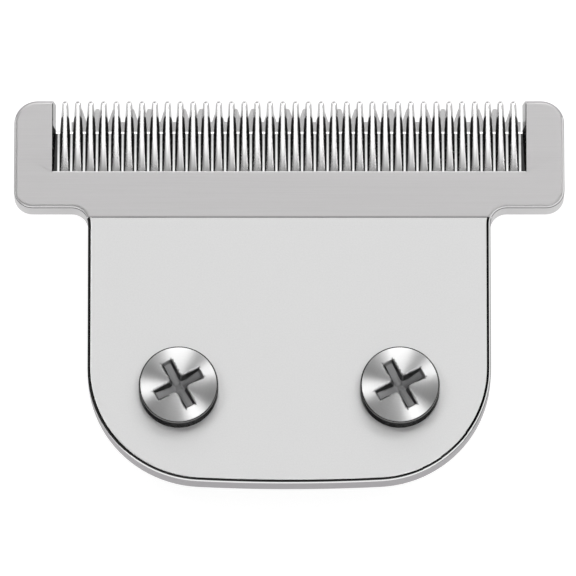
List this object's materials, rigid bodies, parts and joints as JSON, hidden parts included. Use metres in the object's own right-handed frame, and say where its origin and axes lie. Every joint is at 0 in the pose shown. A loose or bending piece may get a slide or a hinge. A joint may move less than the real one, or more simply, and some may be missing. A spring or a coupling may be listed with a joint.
{
  "type": "hair clipper blade",
  "caption": "T-shaped trimmer blade: a steel comb plate with ground teeth held by screws, and behind it a sprung sliding cutter with a drive fork in a moulded frame.",
  "frame": {"origin": "midway between the two mounting screws, in the plane of the frame's screw pads", "axes": "+X along the cutting edge, +Y towards the tooth tips, +Z out of the front face of the comb plate"},
  "size_m": [0.04, 0.029, 0.0099],
  "materials": {
    "ground_steel": "satin stainless steel, ground bar and teeth",
    "cutter_steel": "ground tool steel",
    "carrier_plastic": "moulded white acetal",
    "frame_plastic": "moulded black plastic with a fine grain",
    "spring_wire": "drawn spring wire",
    "screw_steel": "turned and bright plated"
  },
  "bodies": {
    "blade_base": {"fixed_blade": "ground_steel", "rear_frame": "frame_plastic", "tension_spring": "spring_wire", "left_screw": "screw_steel", "right_screw": "screw_steel"},
    "cutter": {"moving_blade": "cutter_steel", "drive_carrier": "carrier_plastic"}
  },
  "joints": [
    {"name": "cutter_slide", "type": "slide", "parent": "blade_base", "child": "cutter", "axis": [1, 0, 0], "range_m": [-0.0015, 0.0005]}
  ]
}
